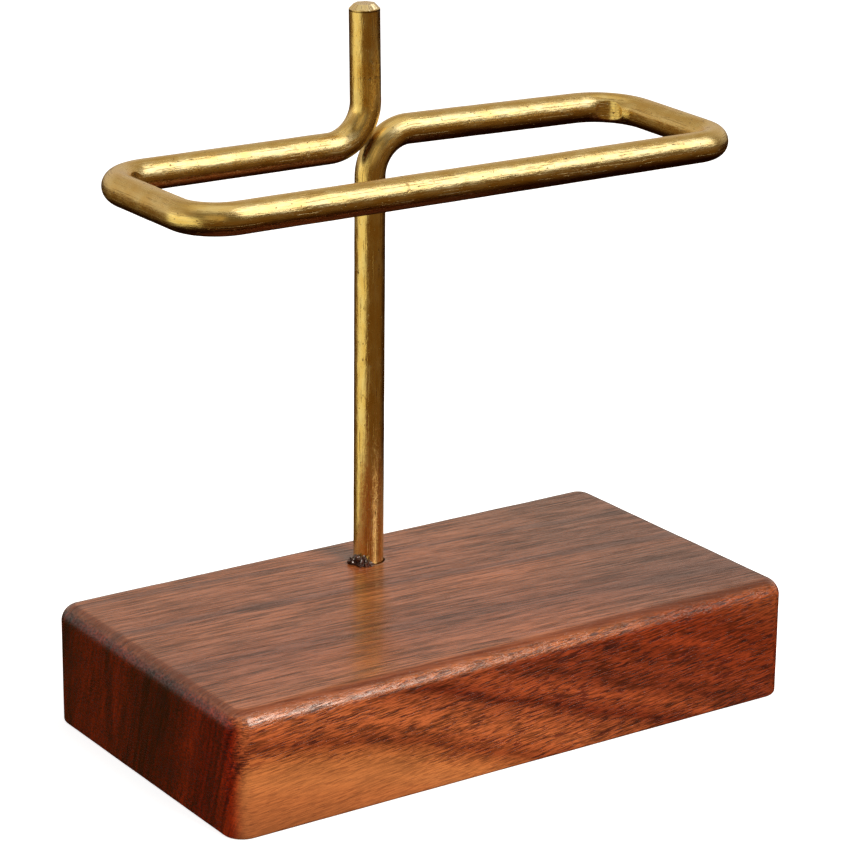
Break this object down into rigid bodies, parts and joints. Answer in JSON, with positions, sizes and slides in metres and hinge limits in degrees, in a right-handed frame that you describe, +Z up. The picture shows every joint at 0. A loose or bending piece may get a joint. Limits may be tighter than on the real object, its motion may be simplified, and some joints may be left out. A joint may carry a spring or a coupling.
{
  "type": "leathercraft loop stand",
  "caption": "Flat rectangular loop bent from a round brass rod, ending in an upright stub, on a post glued into a solid walnut block.",
  "frame": {"origin": "centre of the block's underside", "axes": "+X along the block's long side to the right, +Y to its back, where the post stands, +Z up"},
  "size_m": [0.105, 0.056, 0.1127],
  "materials": {
    "walnut": "oiled satin",
    "brass": "drawn and hand rubbed, satin",
    "cured_glue": "gloss"
  },
  "bodies": {
    "root": {"walnut_base": "walnut", "brass_rod": "brass", "glue_pool": "cured_glue", "glue_bead": "cured_glue"}
  },
  "joints": []
}
